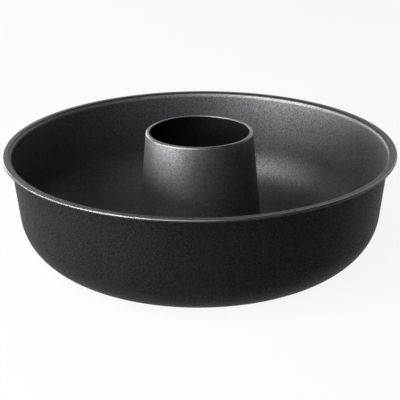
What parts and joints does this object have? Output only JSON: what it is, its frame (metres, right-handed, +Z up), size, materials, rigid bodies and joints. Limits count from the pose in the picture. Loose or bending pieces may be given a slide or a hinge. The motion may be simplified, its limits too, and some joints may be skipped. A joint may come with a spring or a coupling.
{
  "type": "ring cake pan",
  "caption": "Round ring cake pan of dark coated sheet steel, with a folded rim, a leaning wall, a wide rounded corner and an open tapered tube in its centre.",
  "frame": {"origin": "centre of the flat base, at the level of the table it stands on", "axes": "+Z up, along the axis of the pan and of its centre tube"},
  "size_m": [0.26, 0.26, 0.0803],
  "materials": {
    "coating": "dark charcoal non-stick coat on sheet steel, satin, with a fine grain"
  },
  "bodies": {
    "root": {"pan": "coating"}
  },
  "joints": []
}
